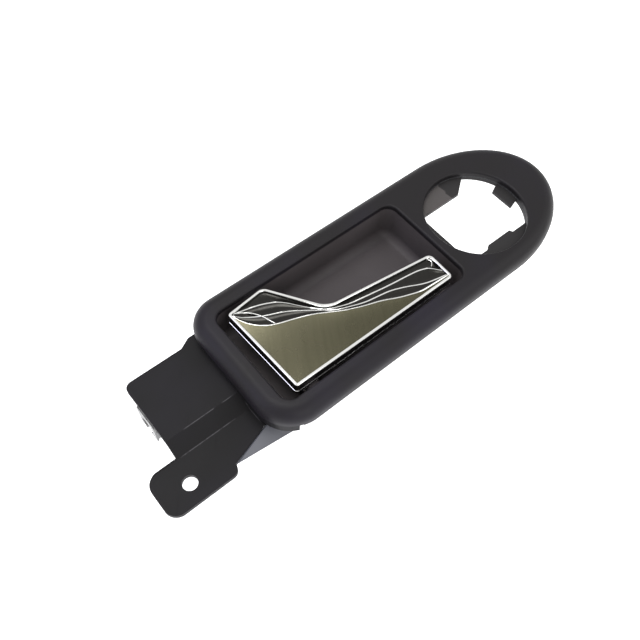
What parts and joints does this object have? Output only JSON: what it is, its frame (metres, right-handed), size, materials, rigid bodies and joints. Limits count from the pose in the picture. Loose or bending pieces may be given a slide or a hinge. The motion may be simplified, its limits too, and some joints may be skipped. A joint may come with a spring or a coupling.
{
  "type": "interior door release handle",
  "caption": "Interior door release handle: long rounded bezel with a finger bowl, a boot-shaped chrome pull lever, a switch opening and a rear fixing tab.",
  "frame": {"origin": "centre of the fixing screw's hole, on the back face of the fixing tab", "axes": "+X along the handle towards its round end, +Y up in the car, +Z out of the door towards the cabin"},
  "size_m": [0.2265, 0.068, 0.0346],
  "materials": {
    "satin_black": "satin, fine moulded grain",
    "moulded_black": "satin, smooth moulded",
    "web_grey": "satin, light grey moulded",
    "chrome": "bright plated, satin main face",
    "core_black": "matte moulded",
    "acetal_natural": "natural acetal, semi-gloss",
    "plated_steel": "zinc plated",
    "spring_steel": "bright spring steel",
    "rubber_black": "matte",
    "frame_grey": "satin, dark grey moulded",
    "foam": "open-cell foam, matte",
    "felt": "needled felt"
  },
  "bodies": {
    "root": {"bezel": "satin_black", "carrier": "moulded_black", "finger_bowl": "moulded_black", "side_guard": "web_grey", "pivot_pin": "plated_steel", "pin_washer": "spring_steel", "return_spring": "spring_steel", "rest_buffer": "rubber_black", "travel_buffer": "rubber_black", "conduit_socket": "acetal_natural", "cable_clip": "spring_steel", "switch_frame": "frame_grey", "switch_gasket": "foam", "switch_springs": "spring_steel", "body_screws": "plated_steel", "frame_screws": "plated_steel", "trim_clips": "spring_steel", "felt_pads": "felt"},
    "lever": {"lever_cover": "chrome", "lever_core": "core_black", "cable_seat": "acetal_natural", "pivot_bush_lower": "acetal_natural", "pivot_bush_upper": "acetal_natural"}
  },
  "joints": [
    {"name": "lever_pull", "type": "hinge", "parent": "root", "child": "lever", "pos_m": [0.0583, 0.02, 0.0115], "axis": [0, -1, 0], "range_deg": [0, 35], "stiffness_Nm_per_rad": 0.15, "springref_deg": -20.05, "deforming": ["return_spring"]}
  ]
}
